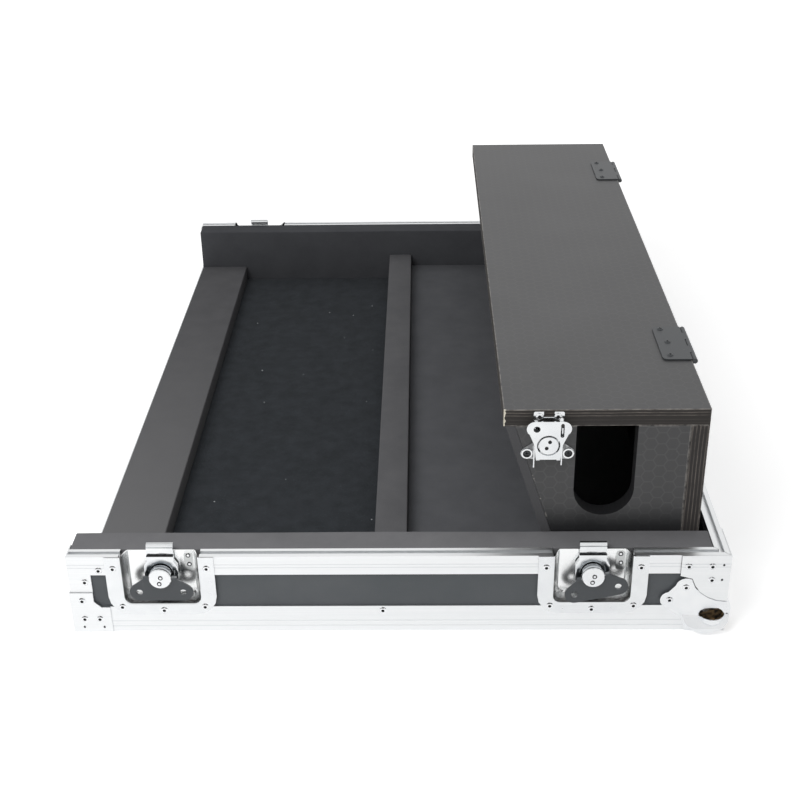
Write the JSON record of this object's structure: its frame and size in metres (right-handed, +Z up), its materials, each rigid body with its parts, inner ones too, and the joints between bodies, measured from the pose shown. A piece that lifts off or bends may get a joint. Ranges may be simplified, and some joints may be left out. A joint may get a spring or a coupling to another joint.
{
  "type": "mixer flight case base",
  "caption": "Open flight case tray for a mixing desk with aluminium edging, foam liners, a rear cable box under a hinged lid, rotary latches and recessed corner wheels.",
  "frame": {"origin": "middle of the whole case in plan, on the plane of the base edging's underside", "axes": "+X from the low open front to the rear, where the cable box and the wheels are; +Y across the desk; +Z up; the picture looks along +Y from the near side"},
  "size_m": [0.6712, 0.974, 0.2345],
  "materials": {
    "birch_ply": "black film-faced birch plywood, satin",
    "laminate": "charcoal laminate on plywood, satin",
    "film_ply": "charcoal hexagon film on plywood",
    "aluminium": "anodised extrusion, satin",
    "zinc": "bright zinc plate",
    "black_steel": "black zinc plate, satin",
    "foam": "closed-cell polyethylene foam, matte",
    "carpet": "short-pile carpet",
    "rubber": "hard grey rubber, matte"
  },
  "bodies": {
    "tray": {"floor_panel": "birch_ply", "near_side_panel": "laminate", "far_side_panel": "laminate", "rear_end_panel": "laminate", "front_base_edge": "aluminium", "rear_base_edge": "aluminium", "near_base_edge": "aluminium", "far_base_edge": "aluminium", "near_front_rim": "aluminium", "near_middle_rim": "aluminium", "near_rear_rim": "aluminium", "far_front_rim": "aluminium", "far_middle_rim": "aluminium", "far_rear_rim": "aluminium", "rear_rim": "aluminium", "near_wheel_cover": "zinc", "far_wheel_cover": "zinc", "near_liner": "foam", "far_liner": "foam", "front_block": "foam", "centre_bar": "foam", "rear_pad": "foam", "bay_carpet": "carpet", "box_back": "birch_ply", "box_front": "birch_ply", "box_near_end": "film_ply", "box_far_end": "film_ply", "near_hinge_back_leaf": "black_steel", "far_hinge_back_leaf": "black_steel", "near_front_latch_dish": "zinc", "near_rear_latch_dish": "zinc", "far_front_latch_dish": "zinc", "far_rear_latch_dish": "zinc", "box_near_latch_base": "zinc", "box_far_latch_base": "zinc"},
    "lid": {"box_lid": "film_ply", "near_keeper": "zinc", "far_keeper": "zinc", "near_hinge_lid_leaf": "black_steel", "far_hinge_lid_leaf": "black_steel"},
    "near_wheel": {"near_wheel": "rubber"},
    "far_wheel": {"far_wheel": "rubber"},
    "near_front_latch_boss": {"near_front_latch_boss": "zinc"},
    "near_front_latch_hook": {"near_front_latch_hook": "zinc"},
    "near_front_latch_wing": {"near_front_latch_wing": "black_steel"},
    "near_rear_latch_boss": {"near_rear_latch_boss": "zinc"},
    "near_rear_latch_hook": {"near_rear_latch_hook": "zinc"},
    "near_rear_latch_wing": {"near_rear_latch_wing": "black_steel"},
    "far_front_latch_boss": {"far_front_latch_boss": "zinc"},
    "far_front_latch_hook": {"far_front_latch_hook": "zinc"},
    "far_front_latch_wing": {"far_front_latch_wing": "black_steel"},
    "far_rear_latch_boss": {"far_rear_latch_boss": "zinc"},
    "far_rear_latch_hook": {"far_rear_latch_hook": "zinc"},
    "far_rear_latch_wing": {"far_rear_latch_wing": "black_steel"},
    "box_near_latch_boss": {"box_near_latch_boss": "zinc"},
    "box_near_latch_hook": {"box_near_latch_hook": "zinc"},
    "box_near_latch_wing": {"box_near_latch_wing": "zinc"},
    "box_far_latch_boss": {"box_far_latch_boss": "zinc"},
    "box_far_latch_hook": {"box_far_latch_hook": "zinc"},
    "box_far_latch_wing": {"box_far_latch_wing": "zinc"}
  },
  "joints": [
    {"name": "lid_open", "type": "hinge", "parent": "tray", "child": "lid", "pos_m": [0.3084, 0, 0.2316], "axis": [0, 1, 0], "range_deg": [0, 248]},
    {"name": "near_wheel_spin", "type": "hinge", "parent": "tray", "child": "near_wheel", "pos_m": [0.3104, -0.4658, 0.0255], "axis": [0, 1, 0], "continuous": true},
    {"name": "far_wheel_spin", "type": "hinge", "parent": "tray", "child": "far_wheel", "pos_m": [0.3104, 0.4658, 0.0255], "axis": [0, 1, 0], "continuous": true},
    {"name": "near_front_latch_turn", "type": "hinge", "parent": "tray", "child": "near_front_latch_boss", "pos_m": [-0.2401, -0.475, 0.0684], "axis": [0, -1, 0], "range_deg": [0, 180]},
    {"name": "near_front_latch_hook_slide", "type": "slide", "parent": "tray", "child": "near_front_latch_hook", "axis": [0, 0, 1], "range_m": [0, 0.0081]},
    {"name": "near_front_latch_wing_fold", "type": "hinge", "parent": "near_front_latch_boss", "child": "near_front_latch_wing", "pos_m": [-0.2401, -0.478, 0.0684], "axis": [-1, 0, 0], "range_deg": [0, 90]},
    {"name": "near_rear_latch_turn", "type": "hinge", "parent": "tray", "child": "near_rear_latch_boss", "pos_m": [0.1939, -0.475, 0.0684], "axis": [0, -1, 0], "range_deg": [-13, 167]},
    {"name": "near_rear_latch_hook_slide", "type": "slide", "parent": "tray", "child": "near_rear_latch_hook", "axis": [0, 0, 1], "range_m": [-0.0006, 0.0075]},
    {"name": "near_rear_latch_wing_fold", "type": "hinge", "parent": "near_rear_latch_boss", "child": "near_rear_latch_wing", "pos_m": [0.1939, -0.478, 0.0684], "axis": [-0.9744, 0, -0.225], "range_deg": [0, 90]},
    {"name": "far_front_latch_turn", "type": "hinge", "parent": "tray", "child": "far_front_latch_boss", "pos_m": [-0.2401, 0.475, 0.0684], "axis": [0, 1, 0], "range_deg": [0, 180]},
    {"name": "far_front_latch_hook_slide", "type": "slide", "parent": "tray", "child": "far_front_latch_hook", "axis": [0, 0, 1], "range_m": [0, 0.0081]},
    {"name": "far_front_latch_wing_fold", "type": "hinge", "parent": "far_front_latch_boss", "child": "far_front_latch_wing", "pos_m": [-0.2401, 0.478, 0.0684], "axis": [1, 0, 0], "range_deg": [0, 90]},
    {"name": "far_rear_latch_turn", "type": "hinge", "parent": "tray", "child": "far_rear_latch_boss", "pos_m": [0.1939, 0.475, 0.0684], "axis": [0, 1, 0], "range_deg": [0, 180]},
    {"name": "far_rear_latch_hook_slide", "type": "slide", "parent": "tray", "child": "far_rear_latch_hook", "axis": [0, 0, 1], "range_m": [0, 0.0081]},
    {"name": "far_rear_latch_wing_fold", "type": "hinge", "parent": "far_rear_latch_boss", "child": "far_rear_latch_wing", "pos_m": [0.1939, 0.478, 0.0684], "axis": [1, 0, 0], "range_deg": [0, 90]},
    {"name": "box_near_latch_turn", "type": "hinge", "parent": "tray", "child": "box_near_latch_boss", "pos_m": [0.1476, -0.4304, 0.197], "axis": [0, -1, 0], "range_deg": [0, 180]},
    {"name": "box_near_latch_hook_slide", "type": "slide", "parent": "tray", "child": "box_near_latch_hook", "axis": [0, 0, 1], "range_m": [0, 0.0081]},
    {"name": "box_near_latch_wing_fold", "type": "hinge", "parent": "box_near_latch_boss", "child": "box_near_latch_wing", "pos_m": [0.1476, -0.4373, 0.1814], "axis": [1, 0, 0], "range_deg": [0, 90]},
    {"name": "box_far_latch_turn", "type": "hinge", "parent": "tray", "child": "box_far_latch_boss", "pos_m": [0.1476, 0.4304, 0.197], "axis": [0, 1, 0], "range_deg": [0, 180]},
    {"name": "box_far_latch_hook_slide", "type": "slide", "parent": "tray", "child": "box_far_latch_hook", "axis": [0, 0, 1], "range_m": [0, 0.0081]},
    {"name": "box_far_latch_wing_fold", "type": "hinge", "parent": "box_far_latch_boss", "child": "box_far_latch_wing", "pos_m": [0.1476, 0.4373, 0.1814], "axis": [-1, 0, 0], "range_deg": [0, 90]}
  ],
  "couplings": [
    {"joint": "near_front_latch_hook_slide", "follows": "near_front_latch_turn", "m_per_rad": 0.002546},
    {"joint": "near_rear_latch_hook_slide", "follows": "near_rear_latch_turn", "m_per_rad": 0.002546},
    {"joint": "far_front_latch_hook_slide", "follows": "far_front_latch_turn", "m_per_rad": 0.002546},
    {"joint": "far_rear_latch_hook_slide", "follows": "far_rear_latch_turn", "m_per_rad": 0.002546},
    {"joint": "box_near_latch_hook_slide", "follows": "box_near_latch_turn", "m_per_rad": 0.002546},
    {"joint": "box_far_latch_hook_slide", "follows": "box_far_latch_turn", "m_per_rad": 0.002546}
  ]
}
